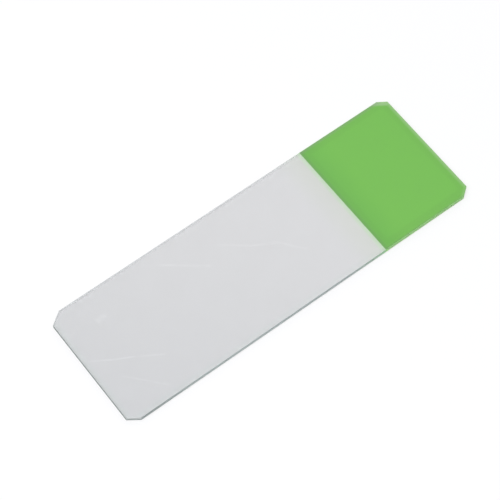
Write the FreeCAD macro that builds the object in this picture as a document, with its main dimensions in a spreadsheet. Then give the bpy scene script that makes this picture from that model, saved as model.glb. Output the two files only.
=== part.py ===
"""Microscope slide: a clear glass pane with clipped corners and a printed marking field.

The slide lies flat. The origin is at the middle of its underside. +X runs along its
length to the printed end, +Y runs across it to its far long edge, and +Z is up.
Sizes are in millimetres, and the one angle is in degrees.
"""
import FreeCAD, Part
import os

import Sketcher
from FreeCAD import Vector

doc = FreeCAD.newDocument("MicroscopeSlide")

# ---------------------------------------------------------------- driving sizes
# Each row holds an alias, its value and what it sets. A clipped corner has two legs,
# measured from the sharp corner that was cut away: one along the slide's length and
# one across its width. No two clips are quite the same size.
SIZES = (
    ("slide_length", 75.0, "pane, from end to end"),
    ("slide_width", 25.0, "pane, across its two long edges"),
    ("glass_thickness", 1.0, "pane, from face to face"),
    ("arris_width", 0.03, "fine bevel that takes the sharpness off the edges of both faces"),
    ("clear_far_clip_along", 2.4, "clear end, far corner"),
    ("clear_far_clip_across", 1.7, "the same corner"),
    ("clear_near_clip_along", 2.1, "clear end, near corner"),
    ("clear_near_clip_across", 1.5, "the same corner"),
    ("printed_far_clip_along", 1.7, "printed end, far corner"),
    ("printed_far_clip_across", 1.15, "the same corner"),
    ("printed_near_clip_along", 1.65, "printed end, near corner"),
    ("printed_near_clip_across", 1.25, "the same corner"),
    ("field_length", 19.7, "marking field, from the slide's end to its inner border"),
    ("ink_thickness", 0.03, "printed film"),
    ("ink_margin", 0.02, "bare glass left between the arris and the film's foot"),
    ("ink_rim_lean", 45.0, "how far the film's thin rim leans in from upright"),
)

sizes = doc.addObject("Spreadsheet::Sheet", "Sizes")
for row, (alias, value, meaning) in enumerate(SIZES, start=1):
    sizes.set(f"A{row}", meaning)
    sizes.set(f"B{row}", str(value))
    sizes.setAlias(f"B{row}", alias)
doc.recompute()

# ---------------------------------------------------------------- sketching
# A sketch names the two ends of a line, and its own origin, by these numbers.
START = 1
END = 2
ORIGIN = (-1, START)

# The pane's sides, in turn round its outline from the near long edge.
SIDES = (
    "near_edge",
    "printed_near_clip",
    "printed_end",
    "printed_far_clip",
    "far_edge",
    "clear_far_clip",
    "clear_end",
    "clear_near_clip",
)


def start_body(name):
    """Start one sub-part, whose label also names its file."""
    body = doc.addObject("PartDesign::Body", name)
    body.Label = name
    return body


def start_sketch(body, name):
    """Start a sketch on the body's own base plane."""
    base_plane = next(plane for plane in body.Origin.OriginFeatures if plane.Role == "XY_Plane")
    sketch = body.newObject("Sketcher::SketchObject", name)
    sketch.AttachmentSupport = [(base_plane, "")]
    sketch.MapMode = "FlatFace"
    return sketch


def draw_outline(sketch, names, corners, construction=False):
    """Draw a closed outline through the corners, and return each side's number by its name."""
    numbers = []
    for start, end in zip(corners, corners[1:] + corners[:1]):
        segment = Part.LineSegment(Vector(*start), Vector(*end))
        numbers.append(sketch.addGeometry(segment, construction))
    for side, following in zip(numbers, numbers[1:] + numbers[:1]):
        sketch.addConstraint(Sketcher.Constraint("Coincident", side, END, following, START))
    return dict(zip(names, numbers))


def dimension(sketch, name, expression, kind, *places):
    """Add a named dimension that takes its value from the sheet."""
    value = float(sketch.evalExpression(expression))
    number = sketch.addConstraint(Sketcher.Constraint(kind, *places, value))
    sketch.renameConstraint(number, name)
    sketch.setExpression(f"Constraints.{name}", expression)


def dimension_clip(sketch, name, side):
    """Give a clipped corner its two legs, each from the lower end of the cut to the higher."""
    cut = sketch.Geometry[side]
    rises_along = cut.StartPoint.x < cut.EndPoint.x
    rises_across = cut.StartPoint.y < cut.EndPoint.y
    for leg, kind, rises in (("along", "DistanceX", rises_along), ("across", "DistanceY", rises_across)):
        lower, higher = (START, END) if rises else (END, START)
        dimension(sketch, f"{name}_{leg}", f"Sizes.{name}_{leg}", kind, side, lower, side, higher)


def draw_pane_outline(sketch, construction=False):
    """Draw the pane's outline with its four clipped corners, centred on the origin."""
    half_length = sizes.slide_length / 2
    half_width = sizes.slide_width / 2
    pane = draw_outline(sketch, SIDES, [
        Vector(sizes.clear_near_clip_along - half_length, -half_width),
        Vector(half_length - sizes.printed_near_clip_along, -half_width),
        Vector(half_length, sizes.printed_near_clip_across - half_width),
        Vector(half_length, half_width - sizes.printed_far_clip_across),
        Vector(half_length - sizes.printed_far_clip_along, half_width),
        Vector(sizes.clear_far_clip_along - half_length, half_width),
        Vector(-half_length, half_width - sizes.clear_far_clip_across),
        Vector(-half_length, sizes.clear_near_clip_across - half_width),
    ], construction)
    for name in ("near_edge", "far_edge"):
        sketch.addConstraint(Sketcher.Constraint("Horizontal", pane[name]))
    for name in ("printed_end", "clear_end"):
        sketch.addConstraint(Sketcher.Constraint("Vertical", pane[name]))
    length = "Sizes.slide_length / 2"
    width = "Sizes.slide_width / 2"
    dimension(sketch, "middle_to_printed_end", length, "DistanceX", *ORIGIN, pane["printed_end"], START)
    dimension(sketch, "clear_end_to_middle", length, "DistanceX", pane["clear_end"], START, *ORIGIN)
    dimension(sketch, "middle_to_far_edge", width, "DistanceY", *ORIGIN, pane["far_edge"], START)
    dimension(sketch, "near_edge_to_middle", width, "DistanceY", pane["near_edge"], START, *ORIGIN)
    for name in SIDES:
        if name.endswith("clip"):
            dimension_clip(sketch, name, pane[name])
    return pane


# ---------------------------------------------------------------- glass pane
# One pane of clear glass, cut to size and clipped at its four corners.
glass = start_body("glass_slide")
pane_outline = start_sketch(glass, "PaneOutline")
draw_pane_outline(pane_outline)
doc.recompute()

pane_blank = glass.newObject("PartDesign::Pad", "PaneBlank")
pane_blank.Profile = pane_outline
pane_blank.setExpression("Length", "Sizes.glass_thickness")
doc.recompute()

# Its walls are left as they were cut, and a fine arris is seamed all round both flat
# faces, so that the pane doesn't cut the hand that holds it.
FLAT = 1e-6
flat_faces = [
    f"Face{number}"
    for number, face in enumerate(pane_blank.Shape.Faces, start=1)
    if face.BoundBox.ZLength < FLAT
]
seamed_arris = glass.newObject("PartDesign::Chamfer", "SeamedArris")
seamed_arris.Base = (pane_blank, flat_faces)
seamed_arris.setExpression("Size", "Sizes.arris_width")
doc.recompute()

# ---------------------------------------------------------------- printed marking field
# A film of ink, printed and cured on the pane's top face. Its straight inner border
# crosses the slide, and each other side follows the side of the pane that it runs by,
# just clear of the arris.
ink = start_body("marking_area")
ink.setExpression("Placement.Base.z", "Sizes.glass_thickness")
field_outline = start_sketch(ink, "FieldOutline")
pane = draw_pane_outline(field_outline, construction=True)

followed = ("near_edge", "printed_near_clip", "printed_end", "printed_far_clip", "far_edge")
ink_setback = sizes.arris_width + sizes.ink_margin
field_right = sizes.slide_length / 2 - ink_setback
field_left = sizes.slide_length / 2 - sizes.field_length
field_top = sizes.slide_width / 2 - ink_setback
field = draw_outline(field_outline, followed + ("inner_border",), [
    Vector(field_left, -field_top),
    Vector(field_right - sizes.printed_near_clip_along, -field_top),
    Vector(field_right, sizes.printed_near_clip_across - field_top),
    Vector(field_right, field_top - sizes.printed_far_clip_across),
    Vector(field_right - sizes.printed_far_clip_along, field_top),
    Vector(field_left, field_top),
])
for name in followed:
    field_outline.addConstraint(Sketcher.Constraint("Parallel", field[name], pane[name]))
    dimension(field_outline, f"setback_at_{name}", "Sizes.arris_width + Sizes.ink_margin", "Distance",
              field[name], START, pane[name])
field_outline.addConstraint(Sketcher.Constraint("Vertical", field["inner_border"]))
dimension(field_outline, "field_length", "Sizes.field_length", "DistanceX",
          field["inner_border"], START, pane["printed_end"], START)
doc.recompute()

ink_film = ink.newObject("PartDesign::Pad", "InkFilm")
ink_film.Profile = field_outline
ink_film.setExpression("Length", "Sizes.ink_thickness")
ink_film.setExpression("TaperAngle", "-Sizes.ink_rim_lean")
doc.recompute()

# ---------------------------------------------------------------- checks and files
for item in doc.Objects:
    if "Invalid" in item.State or "Error" in item.State:
        raise RuntimeError(f"{item.Name} failed: {item.State}")
for sketch in (pane_outline, field_outline):
    if not sketch.FullyConstrained:
        raise RuntimeError(f"{sketch.Name} is not fully constrained")
for body in (glass, ink):
    if body.Shape.isNull() or not body.Shape.isValid() or len(body.Shape.Solids) != 1:
        raise RuntimeError(f"{body.Label} is not one valid solid")

os.makedirs("parts", exist_ok=True)
for body in (glass, ink):
    body.Shape.exportStep(f"parts/{body.Label}.step")
    print(f"{body.Label}: {body.Shape.Volume:.3f} mm3, {len(body.Shape.Faces)} faces")
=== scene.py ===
from math import atan2, pi, radians

import bmesh
import bpy
from mathutils import Matrix, Vector, noise


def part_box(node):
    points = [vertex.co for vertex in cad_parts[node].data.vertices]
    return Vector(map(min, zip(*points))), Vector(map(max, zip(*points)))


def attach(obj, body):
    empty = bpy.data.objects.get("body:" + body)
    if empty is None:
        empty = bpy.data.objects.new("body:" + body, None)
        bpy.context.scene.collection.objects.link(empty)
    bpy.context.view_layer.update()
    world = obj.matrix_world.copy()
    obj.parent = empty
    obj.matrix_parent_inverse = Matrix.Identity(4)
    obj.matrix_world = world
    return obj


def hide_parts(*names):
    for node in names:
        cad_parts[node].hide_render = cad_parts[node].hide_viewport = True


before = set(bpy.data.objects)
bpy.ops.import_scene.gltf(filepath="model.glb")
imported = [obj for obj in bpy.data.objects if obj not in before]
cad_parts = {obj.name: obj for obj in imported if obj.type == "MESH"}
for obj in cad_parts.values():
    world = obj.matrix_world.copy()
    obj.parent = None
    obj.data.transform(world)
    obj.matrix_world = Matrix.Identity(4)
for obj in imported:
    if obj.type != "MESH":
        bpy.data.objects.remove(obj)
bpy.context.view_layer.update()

MM = 0.001

# ---------------------------------------------------------------- glass pane
# One pane of clear glass, a millimetre thick, cut to size with its four corners nipped
# off. Its two faces are polished, and the top one carries a few faint wipe marks. Its
# walls are satin from cutting, and a fine arris takes the sharpness off their edges.
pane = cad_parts["glass_slide"]
pane_low, pane_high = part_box("glass_slide")
film_low, film_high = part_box("marking_area")
thickness = (pane_high.z - pane_low.z) / MM
border = film_low.x / MM

# The glass itself. Light that crosses one of its surfaces is tinted by the square root
# of that surface's colour.
glass_index = 1.52
absorbed = (0.82, 0.87, 0.86, 1)
absorption = 100.0
# A face's grey is partly the glass's own tint and partly painted shade, for the slide's shadow on the paper
# beneath it.
face_tint_and_shade = (0.759, 0.763, 0.777, 1)

# The long walls, which change towards the clear end and take painted green light from the
# print towards it, the two ends, and the nipped corners in their upper part. An arris is
# nearly clear from within.
long_tint = (0.55, 0.66, 0.64, 1)
clear_brink = (0.33, 0.40, 0.385, 1)
print_light_on_walls = (0.54, 0.86, 0.60, 1)
end_tint = (0.20, 0.25, 0.235, 1)
nipped_tint = (0.90, 0.96, 0.94, 1)
arris_within = (0.95, 0.99, 0.97, 1)

# Painted green light from the print on the walls beside it, at their foot, at their brow and
# at a nipped corner.
print_light_foot = (0.74, 1.0, 0.47, 1)
print_light_brow = (0.36, 0.90, 0.22, 1)
print_light_nip = (0.80, 0.97, 0.62, 1)

# What a face's tint is multiplied by: painted shade along the cut edges, and painted shade
# and painted green light next to the print.
edge_shade_tint = (0.95, 1.00, 0.975, 1)
print_shade = (0.962, 0.985, 0.93, 1)
print_glow = (0.91, 1.062, 0.88, 1)

# Where each of these starts to fade and where it is gone, in millimetres: from the clear
# end or a cut edge, and then from the print's border, outwards and inwards.
clear_brink_reach = (3.0, 16.0)
edge_shade_reach = (0.1, 1.5)
chipping_reach = (0.05, 0.45)
print_light_on_walls_reach = (0.0, 9.0)
print_shade_reach = (0.3, 6.5)
print_glow_reach = (0.30, 0.75)
print_glow_start = (-0.9, -0.5)
print_start = (-0.2, 0.2)

# The shares of the pane's height over which its top face and a nipped corner's upper part
# set in.
top_start = (0.5, 0.9)
brow_start = (0.25, 0.6)

chipping_depth = 0.12
haze_grain = 6.0
haze_amount = 0.02
# The wipe marks are real; how much they brighten the glass is painted sheen.
mark_painted_sheen = 1.13

# Roughness, and the fine upright hackle lines of the walls: how many to a millimetre
# each way, and how deep they are.
polished = 0.02
smeared = 0.10
satin_range = (0.70, 0.85)
hackle_count = (8.0, 8.0, 0.8)
hackle_strength = 0.6
hackle_depth = 0.01 * MM

# Each wipe mark runs from one place on the top face to another, in millimetres, and has
# a width and a strength.
wipe_marks = (
    ((-37.4, 2.0), (-32.2, -1.3), 0.34, 0.8),
    ((-33.8, -0.4), (-29.0, -2.9), 0.32, 0.7),
    ((-31.2, -1.7), (-24.0, -6.1), 0.36, 0.5),
    ((-34.6, -3.0), (-26.9, -11.7), 0.35, 0.46),
    ((-19.5, 11.8), (-12.5, 6.6), 0.50, 0.5),
    ((-14.5, 8.0), (-8.0, 3.0), 0.45, 0.5),
    ((-6.5, 7.2), (0.0, 1.9), 0.40, 0.5),
    ((-1.5, 3.0), (3.6, 0.0), 0.35, 0.5),
    ((2.4, 1.6), (7.2, -4.6), 0.40, 0.46),
    ((-31.4, 6.8), (-28.8, 7.1), 1.20, 0.7),
    ((-22.0, 1.4), (-17.5, 2.2), 0.60, 0.3),
)


def socket_called(sockets, name):
    """Find a node's socket by its identifier, or else by its name."""
    for socket in sockets:
        if socket.identifier == name:
            return socket
    return sockets[name]


def set_socket(tree, socket, value):
    """Give an input its value, or link it to the socket that feeds it."""
    if isinstance(value, bpy.types.NodeSocket):
        tree.links.new(value, socket)
    else:
        socket.default_value = value


def place(tree, kind, inputs=(), **properties):
    """Place a shader node with its properties and inputs set."""
    node = tree.nodes.new("ShaderNode" + kind)
    for name, value in properties.items():
        setattr(node, name, value)
    for name, value in dict(inputs).items():
        set_socket(tree, socket_called(node.inputs, name), value)
    return node


def calculate(tree, operation, *values):
    """Work out one number from others, with a Math node."""
    node = place(tree, "Math", operation=operation)
    for socket, value in zip(node.inputs, values):
        set_socket(tree, socket, value)
    return node.outputs[0]


def calculate_vector(tree, operation, *values):
    """Work out one vector from others, with a Vector Math node."""
    node = place(tree, "VectorMath", operation=operation)
    for socket, value in zip(node.inputs, values):
        set_socket(tree, socket, value)
    return node.outputs["Value" if operation in ("DOT_PRODUCT", "LENGTH") else "Vector"]


def scale_vector(tree, vector, scale):
    """Multiply a vector by a number."""
    return place(tree, "VectorMath", {"Vector": vector, "Scale": scale}, operation="SCALE").outputs["Vector"]


def ramp(tree, value, start, end, at_start=0.0, at_end=1.0):
    """Pass smoothly from one level to another as a value goes from start to end."""
    inputs = {"Value": value, "From Min": start, "From Max": end, "To Min": at_start, "To Max": at_end}
    return place(tree, "MapRange", inputs, interpolation_type="SMOOTHSTEP").outputs[0]


def fade(tree, value, start, end, strength=1.0):
    """Fall smoothly from a strength to nothing as a value goes from start to end."""
    return ramp(tree, value, start, end, strength, 0.0)


def mix_colours(tree, share, first, second, blend_type="MIX"):
    """Mix two colours, the second by its share."""
    inputs = {"Factor_Float": share, "A_Color": first, "B_Color": second}
    node = place(tree, "Mix", inputs, data_type="RGBA", blend_type=blend_type)
    return socket_called(node.outputs, "Result_Color")


def multiply_colours(tree, colour, factor, share=1.0):
    """Multiply one colour by another, as far as a share from 0 to 1 says."""
    return mix_colours(tree, share, colour, factor, "MULTIPLY")


def grey(tree, level):
    """Make a grey of one level."""
    return place(tree, "CombineColor", {"Red": level, "Green": level, "Blue": level}).outputs[0]


def new_group(name, inputs, outputs):
    """Start a node group, and return it with the sockets that feed it and that it fills."""
    group = bpy.data.node_groups.new(name, "ShaderNodeTree")
    for title, kind in inputs:
        group.interface.new_socket(name=title, in_out="INPUT", socket_type="NodeSocket" + kind)
    for title, kind in outputs:
        group.interface.new_socket(name=title, in_out="OUTPUT", socket_type="NodeSocket" + kind)
    return group, group.nodes.new("NodeGroupInput").outputs, group.nodes.new("NodeGroupOutput").inputs


def new_material(name):
    """Start a material, and return it with its tree, its output node and its place in millimetres."""
    material = bpy.data.materials.new(name)
    material.use_nodes = True
    tree = material.node_tree
    tree.nodes.clear()
    position = scale_vector(tree, place(tree, "TexCoord").outputs["Object"], 1 / MM)
    return material, tree, place(tree, "OutputMaterial"), position


# A fine unevenness that glass and ink both have, as a factor that varies round 1.
unevenness, given, result = new_group(
    "unevenness",
    (("Position", "Vector"), ("Grain", "Float"), ("Amount", "Float")),
    (("Factor", "Float"), ("Noise", "Float")),
)
frequency = calculate(unevenness, "DIVIDE", 1.0, given["Grain"])
cloud_inputs = {"Vector": given["Position"], "Scale": frequency, "Detail": 3.0}
cloud = place(unevenness, "TexNoise", cloud_inputs).outputs[0]
swing = calculate(unevenness, "MULTIPLY", calculate(unevenness, "SUBTRACT", cloud, 0.5), given["Amount"])
set_socket(unevenness, result["Factor"], calculate(unevenness, "ADD", swing, 1.0))
set_socket(unevenness, result["Noise"], cloud)

# A noise stays mostly between these two levels.
noise_low = 0.3
noise_high = 0.7

# One wipe mark: a streak that fades to its ends and sides and is broken along its length.
wipe_mark, given, result = new_group(
    "wipe_mark",
    (("Position", "Vector"), ("Start", "Vector"), ("End", "Vector"), ("Width", "Float")),
    (("Mark", "Float"),),
)
break_frequency = 0.7
break_range = (0.35, 0.6)
strength_at_breaks = 0.5
end_share = 0.2

run = calculate_vector(wipe_mark, "SUBTRACT", given["End"], given["Start"])
offset = calculate_vector(wipe_mark, "SUBTRACT", given["Position"], given["Start"])
reach = calculate(
    wipe_mark, "DIVIDE",
    calculate_vector(wipe_mark, "DOT_PRODUCT", offset, run),
    calculate_vector(wipe_mark, "DOT_PRODUCT", run, run),
)
reach = place(wipe_mark, "Clamp", {"Value": reach}).outputs[0]
aside = calculate_vector(wipe_mark, "SUBTRACT", offset, scale_vector(wipe_mark, run, reach))
across = calculate(wipe_mark, "DIVIDE", calculate_vector(wipe_mark, "LENGTH", aside), given["Width"])
side_fade = fade(wipe_mark, across, 0.0, 1.0)
end_fade = calculate(
    wipe_mark, "MULTIPLY",
    ramp(wipe_mark, reach, 0.0, end_share),
    fade(wipe_mark, reach, 1.0 - end_share, 1.0),
)
breaks = place(wipe_mark, "TexNoise", {
    "Vector": given["Position"], "Scale": break_frequency, "Detail": 3.0}).outputs[0]
broken = ramp(wipe_mark, breaks, *break_range, strength_at_breaks, 1.0)
streak = calculate(wipe_mark, "MULTIPLY", side_fade, end_fade)
set_socket(wipe_mark, result["Mark"], calculate(wipe_mark, "MULTIPLY", streak, broken))

glass, tree, output, position = new_material("clear_glass")
place_on_pane = place(tree, "SeparateXYZ", {"Vector": position}).outputs
height = calculate(tree, "DIVIDE", place_on_pane["Z"], thickness)
from_end = calculate(tree, "SUBTRACT", place_on_pane["X"], pane_low.x / MM)
from_near_edge = calculate(tree, "SUBTRACT", place_on_pane["Y"], pane_low.y / MM)
from_cut = calculate(tree, "MINIMUM", from_end, from_near_edge)
from_border = calculate(tree, "SUBTRACT", border, place_on_pane["X"])
on_top = ramp(tree, height, *top_start)
below_print = fade(tree, from_border, *print_start)

# The upright part of a surface's normal tells the level faces, at 1, from the arrises and
# from the walls, at 0.
arris_to_face = (0.8, 0.95)
wall_to_arris = (0.2, 0.5)
normal = place(tree, "SeparateXYZ", {"Vector": place(tree, "TexCoord").outputs["Normal"]}).outputs
lean = calculate(tree, "ABSOLUTE", normal["Z"])
edges = fade(tree, lean, *arris_to_face)
walls = fade(tree, lean, *wall_to_arris)
backfacing = place(tree, "NewGeometry").outputs["Backfacing"]

# The part of it that lies along the slide tells the long walls, at 0, from the nipped
# corners and from the ends, at 1. An end's arris goes with the nipped corners.
long_to_nipped = (0.1, 0.3)
nipped_to_end = (0.7, 0.95)
along = calculate(tree, "ABSOLUTE", normal["X"])
ends = ramp(tree, along, *nipped_to_end)
nipped = calculate(
    tree, "MULTIPLY",
    ramp(tree, along, *long_to_nipped),
    fade(tree, along, *nipped_to_end),
)

# The wipe marks lie on the top face alone.
marks = 0.0
for start, end, width, strength in wipe_marks:
    mark = place(tree, "Group", {
        "Position": position,
        "Start": (*start, thickness),
        "End": (*end, thickness),
        "Width": width,
    }, node_tree=wipe_mark).outputs["Mark"]
    marks = calculate(tree, "MAXIMUM", marks, calculate(tree, "MULTIPLY", mark, strength))
marks = calculate(tree, "MULTIPLY", marks, on_top)

# A face is faintly hazy. Painted shade darkens the top one a little along the near long
# edge and the clear end, and fine chips darken the last of it at that end.
haze = place(tree, "Group", {
    "Position": position, "Grain": haze_grain, "Amount": haze_amount}, node_tree=unevenness).outputs["Factor"]
chipping = calculate(tree, "MULTIPLY", fade(tree, from_end, *chipping_reach, chipping_depth), on_top)
# A wipe mark brightens a face with painted sheen.
brightness = calculate(tree, "MULTIPLY", haze, ramp(tree, marks, 0.0, 1.0, 1.0, mark_painted_sheen))
brightness = calculate(tree, "MULTIPLY", brightness, calculate(tree, "SUBTRACT", 1.0, chipping))
tint = multiply_colours(tree, face_tint_and_shade, grey(tree, brightness))
edge_shade = calculate(tree, "MULTIPLY", fade(tree, from_cut, *edge_shade_reach), on_top)
tint = multiply_colours(tree, tint, edge_shade_tint, edge_shade)

# Beside the print a face takes a thread of painted green light from it, and a wider,
# fainter painted shade.
tint = multiply_colours(tree, tint, print_shade, fade(tree, from_border, *print_shade_reach))
glow = calculate(
    tree, "MULTIPLY",
    fade(tree, from_border, *print_glow_reach),
    ramp(tree, from_border, *print_glow_start),
)
tint = multiply_colours(tree, tint, print_glow, glow)

# The walls are greener than the faces. The long ones are darkest by the clear end, and
# painted green light from the print grows on them as they near it.
wall_tint = mix_colours(tree, fade(tree, from_end, *clear_brink_reach), long_tint, clear_brink)
wall_tint = mix_colours(tree, fade(tree, from_border, *print_light_on_walls_reach), wall_tint, print_light_on_walls)
wall_tint = mix_colours(tree, ends, wall_tint, end_tint)
nipped_brow = calculate(tree, "MULTIPLY", nipped, ramp(tree, height, *brow_start))
wall_tint = mix_colours(tree, nipped_brow, wall_tint, nipped_tint)
arris_seen = calculate(tree, "MULTIPLY", calculate(tree, "SUBTRACT", 1.0, walls), backfacing)
wall_tint = mix_colours(tree, arris_seen, wall_tint, arris_within)
tint = mix_colours(tree, edges, tint, wall_tint)

# Next to the film and under it, the walls and the top face take painted green light from it.
print_light_tint = mix_colours(tree, height, print_light_foot, print_light_brow)
print_light_tint = mix_colours(tree, nipped, print_light_tint, print_light_nip)
beside_print = calculate(tree, "MULTIPLY", below_print, calculate(tree, "MAXIMUM", edges, on_top))
tint = mix_colours(tree, beside_print, tint, print_light_tint)

# Walls and arrises are satin, with hackle lines. From within, a wall is a mirror.
hackles = place(tree, "TexNoise", {
    "Vector": calculate_vector(tree, "MULTIPLY", position, hackle_count),
    "Scale": 1.0,
    "Detail": 2.0,
}).outputs[0]
mirror = calculate(tree, "MULTIPLY", backfacing, walls)
satin = calculate(tree, "MULTIPLY", edges, calculate(tree, "SUBTRACT", 1.0, mirror))
roughness = place(tree, "Mix", {
    "Factor_Float": satin,
    "A_Float": ramp(tree, marks, 0.0, 1.0, polished, smeared),
    "B_Float": ramp(tree, hackles, noise_low, noise_high, *satin_range),
}, data_type="FLOAT").outputs[0]
relief = place(tree, "Bump", {
    "Height": calculate(tree, "MULTIPLY", hackles, satin),
    "Strength": hackle_strength,
    "Distance": hackle_depth,
}).outputs[0]

shader = place(tree, "BsdfPrincipled", {
    "Base Color": tint,
    "Roughness": roughness,
    "IOR": glass_index,
    "Transmission Weight": 1.0,
    "Normal": relief,
})
set_socket(tree, output.inputs["Surface"], shader.outputs["BSDF"])
absorber = place(tree, "VolumeAbsorption", {"Color": absorbed, "Density": absorption})
set_socket(tree, output.inputs["Volume"], absorber.outputs["Volume"])

pane.data.materials.clear()
pane.data.materials.append(glass)

# ---------------------------------------------------------------- printed marking field
# A coat of green marking ink, screen printed on one end of the top face and cured. It
# lies in close contact with the glass, and dries with a low bead round its rim.
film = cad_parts["marking_area"]
middle = (film_low.xy + film_high.xy) / 2

# The rim in section, from the foot up over the bead to the level field. The foot is let
# into the glass by a hair, so that the two surfaces don't lie in one plane.
sunk = 0.005 * MM
rim_profile = (
    # inset from the foot, height
    (0.00 * MM, film_low.z - sunk),
    (0.00 * MM, film_low.z + 0.012 * MM),
    (0.03 * MM, film_low.z + 0.024 * MM),
    (0.09 * MM, film_high.z),
    (0.20 * MM, film_low.z + 0.026 * MM),
    (0.38 * MM, film_low.z + 0.022 * MM),
)
point_spacing = 0.25 * MM
raggedness = 0.02 * MM
ragged_length = 0.5 * MM

# The plain colour, and what it is multiplied by where the coat is darker: from which side,
# how far in it starts to fade, and where it is gone, in millimetres.
ink_colour = (0.186, 0.506, 0.072, 1)
darker_bands = (
    ("inner_border", 0.5, 6.0, (0.89, 0.93, 0.97, 1)),
    ("inner_border", 0.1, 0.9, (1.01, 0.86, 1.27, 1)),
    ("rim", 1.2, 1.9, (0.965, 0.955, 0.98, 1)),
)

# Where it is thinner, and where a line of painted shade follows a long edge, each with its
# greatest share.
thin_ink = (0.465, 0.605, 0.34, 1)
thin_bands = (
    ("end", 0.15, 0.80, 0.36),
    ("far_nip", 0.52, 1.06, 0.54),
    ("near_nip", 0.00, 0.75, 0.28),
)
shade_on_ink = (0.28, 0.29, 0.24, 1)
shade_bands = (
    ("far_edge", 0.10, 0.75, 0.35),
    ("near_edge", 0.05, 0.45, 0.12),
)
underside_painted_light = (0.30, 0.85, 0.16, 1)
facing_down = -0.5

mottle_grain = 2.5
mottle_amount = 0.05
peel_grain = 0.12
peel_amount = 0.04
peel_strength = 0.5
peel_depth = 0.003 * MM
cured_range = (0.46, 0.56)


def sides_of(outline):
    """Pair each corner of a closed outline with the next one."""
    return list(zip(outline, outline[1:] + outline[:1]))


def inset(outline, distance):
    """Move every side of a convex outline inwards, and return its new corners."""
    moved = []
    for before, (corner, after) in zip(outline[-1:] + outline[:-1], sides_of(outline)):
        arriving = (corner - before).normalized()
        leaving = (after - corner).normalized()
        moved.append(corner + (leaving - arriving) / arriving.cross(leaving) * distance)
    return moved


def divide(outline, counts):
    """Put evenly spaced points along each side of an outline."""
    return [
        start.lerp(end, step / count)
        for (start, end), count in zip(sides_of(outline), counts)
        for step in range(count)
    ]


def add_object(name, data):
    """Put a new object into the scene."""
    added = bpy.data.objects.new(name, data)
    bpy.context.scene.collection.objects.link(added)
    return added


def add_mesh(name, shape):
    """Put a finished bmesh into the scene as an object."""
    mesh = bpy.data.meshes.new(name)
    shape.to_mesh(mesh)
    shape.free()
    return add_object(name, mesh)


# The film's six corners, in turn round its foot from the corner of its inner border and
# near edge, and the sides that start at them.
foot = {
    (round(corner.co.x / MM, 3), round(corner.co.y / MM, 3)): corner.co.xy.copy()
    for corner in film.data.vertices
    if corner.co.z < film_low.z + sunk
}
corners = sorted(foot.values(), key=lambda spot: atan2(spot.y - middle.y, spot.x - middle.x))
side_names = ("near_edge", "near_nip", "end", "far_nip", "far_edge", "inner_border")

counts = [max(2, round((end - start).length / point_spacing)) for start, end in sides_of(corners)]
coat = bmesh.new()
rings = []
for distance, level in rim_profile:
    ring = []
    for spot in divide(inset(corners, distance), counts):
        drift = noise.noise(Vector((spot.x, spot.y, 0)) / ragged_length)
        pull = (middle - spot).normalized() * raggedness * abs(drift)
        ring.append(coat.verts.new((*(spot + pull), level)))
    rings.append(ring)
for lower, upper in zip(rings, rings[1:]):
    for (start, end), (above_start, above_end) in zip(sides_of(lower), sides_of(upper)):
        coat.faces.new((start, end, above_end, above_start))
coat.faces.new(rings[-1])
coat.faces.new(reversed(rings[0]))
for face in coat.faces:
    face.smooth = True
ink_coat = add_mesh("ink_coat", coat)

ink, tree, output, position = new_material("green_ink")


def distance_from(start, end):
    """How far a place on the ink lies in from one side of its outline, in millimetres."""
    onwards = (end - start).normalized()
    inwards = Vector((-onwards.y, onwards.x, 0))
    reach = calculate_vector(tree, "DOT_PRODUCT", position, inwards)
    return calculate(tree, "SUBTRACT", reach, inwards.xy.dot(start) / MM)


from_side = {name: distance_from(*side) for name, side in zip(side_names, sides_of(corners))}
from_rim = from_side["near_edge"]
for name in side_names[1:]:
    from_rim = calculate(tree, "MINIMUM", from_rim, from_side[name])
from_side["rim"] = from_rim

mottle = place(tree, "Group", {
    "Position": position, "Grain": mottle_grain, "Amount": mottle_amount}, node_tree=unevenness).outputs
peel = place(tree, "Group", {
    "Position": position, "Grain": peel_grain, "Amount": peel_amount}, node_tree=unevenness).outputs
tone = calculate(tree, "MULTIPLY", mottle["Factor"], peel["Factor"])
colour = multiply_colours(tree, ink_colour, grey(tree, tone))

# The coat is a little darker towards its inner border, and all round its rim.
for side, fades_from, gone_by, factor in darker_bands:
    colour = multiply_colours(tree, colour, factor, fade(tree, from_side[side], fades_from, gone_by))

# It thins out to a paler strip along the slide's end and the two nipped corners there.
# A line of painted shade follows the far long edge, and a fainter one the near.
for bands, band_colour in ((thin_bands, thin_ink), (shade_bands, shade_on_ink)):
    share = 0.0
    for side, fades_from, gone_by, strength in bands:
        band = fade(tree, from_side[side], fades_from, gone_by, strength)
        share = calculate(tree, "MAXIMUM", share, band)
    colour = mix_colours(tree, share, colour, band_colour)

# Its underside, which the glass shows, is painted brighter than its top: painted light, for
# the light that passes through the ink.
facing = place(tree, "SeparateXYZ", {"Vector": place(tree, "TexCoord").outputs["Normal"]}).outputs["Z"]
underside = calculate(tree, "LESS_THAN", facing, facing_down)
colour = mix_colours(tree, underside, colour, underside_painted_light)

relief = place(tree, "Bump", {
    "Height": peel["Noise"], "Strength": peel_strength, "Distance": peel_depth}).outputs[0]
shader = place(tree, "BsdfPrincipled", {
    "Base Color": colour,
    "Roughness": ramp(tree, mottle["Noise"], noise_low, noise_high, *cured_range),
    "Normal": relief,
})
set_socket(tree, output.inputs["Surface"], shader.outputs["BSDF"])

ink_coat.data.materials.append(ink)
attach(ink_coat, "root")
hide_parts("marking_area")

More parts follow.
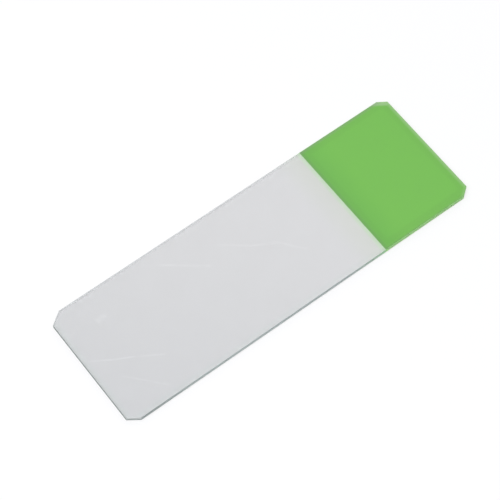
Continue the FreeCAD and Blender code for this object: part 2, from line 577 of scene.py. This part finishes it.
# ---------------------------------------------------------------- floor
# A plain sheet of white paper, large enough to fill the view. It keeps a faint shadow
# round the slide, and fades into the white behind it. Its own white is a hair warm,
# against the cool side of the studio.
floor_radius = 1.5
floor_sides = 96
floor_gap = 0.02 * MM
white = (1, 1, 1, 1)
paper_white = (1.014, 1.0, 1.0, 1)
near_white = 0.8
near_reach = (50.0, 400.0)

disc = bmesh.new()
bmesh.ops.create_circle(disc, cap_ends=True, segments=floor_sides, radius=floor_radius)
bmesh.ops.translate(disc, verts=disc.verts, vec=(0, 0, pane_low.z - floor_gap))
floor = add_mesh("floor", disc)

paper, tree, output, position = new_material("white_paper")
lit_paper = place(tree, "BsdfDiffuse", {"Color": white})
plain_white = place(tree, "Emission", {"Color": paper_white})
path = place(tree, "LightPath").outputs
seen = calculate(tree, "MAXIMUM", path["Is Camera Ray"], path["Is Glossy Ray"])
seen = calculate(tree, "MAXIMUM", seen, path["Is Transmission Ray"])
away = calculate_vector(tree, "LENGTH", position)
whiteness = calculate(tree, "MULTIPLY", seen, ramp(tree, away, *near_reach, near_white, 1.0))
sheet = place(tree, "MixShader", {"Fac": whiteness})
set_socket(tree, sheet.inputs[1], lit_paper.outputs[0])
set_socket(tree, sheet.inputs[2], plain_white.outputs[0])
set_socket(tree, output.inputs["Surface"], sheet.outputs[0])
floor.data.materials.append(paper)

# ---------------------------------------------------------------- light
# A soft studio: a bright panel wall to one side that fades into a dimmer one, both
# darker towards the floor, and a round softbox overhead.
dim_side = (0.28, 0.37, 0.44, 1)
bright_side = (1.22, 1.22, 1.22, 1)
panel_direction = (0.707, 0.707, 0.0)
panel_edge = (0.34, 0.49)
level_at_floor = 0.65
full_height = 0.5
softbox_size = 0.5
softbox_power = 2.3
softbox_distance = 0.6
softbox_lean = radians(-30)

world = bpy.data.worlds.new("studio")
bpy.context.scene.world = world
world.use_nodes = True
tree = world.node_tree
tree.nodes.clear()
direction = place(tree, "TexCoord").outputs["Generated"]
towards_panel = calculate_vector(tree, "DOT_PRODUCT", direction, panel_direction)
studio = mix_colours(tree, ramp(tree, towards_panel, *panel_edge), dim_side, bright_side)
upwards = place(tree, "SeparateXYZ", {"Vector": direction}).outputs["Z"]
level = ramp(tree, upwards, 0.0, full_height, level_at_floor, 1.0)
studio = multiply_colours(tree, studio, grey(tree, level))
behind_all = place(tree, "LightPath").outputs["Is Camera Ray"]
sky = place(tree, "Background", {"Color": mix_colours(tree, behind_all, studio, white)})
set_socket(tree, place(tree, "OutputWorld").inputs["Surface"], sky.outputs[0])

lamp = bpy.data.lights.new("softbox", "AREA")
lamp.shape = "DISK"
lamp.size = softbox_size
lamp.energy = softbox_power
softbox = add_object("softbox", lamp)
softbox.matrix_world = Matrix.Rotation(softbox_lean, 4, "Y") @ Matrix.Translation((0, 0, softbox_distance))

# ---------------------------------------------------------------- camera
# A long lens on a full frame, so that the long edges run nearly parallel. It looks down
# on the slide from beyond its clear end, on the near side.
aim = (-1.08 * MM, 2.38 * MM, 0)
turn = radians(-37.15)
elevation = radians(62.08)
camera_distance = 339.1 * MM

view = bpy.data.cameras.new("camera")
view.sensor_width = 36
view.lens = 137.7
camera = add_object("camera", view)
camera.matrix_world = (
    Matrix.Translation(aim)
    @ Matrix.Rotation(turn, 4, "Z")
    @ Matrix.Rotation(pi / 2 - elevation, 4, "X")
    @ Matrix.Translation((0, 0, camera_distance))
)
bpy.context.scene.camera = camera
bpy.context.scene.view_settings.view_transform = "Standard"
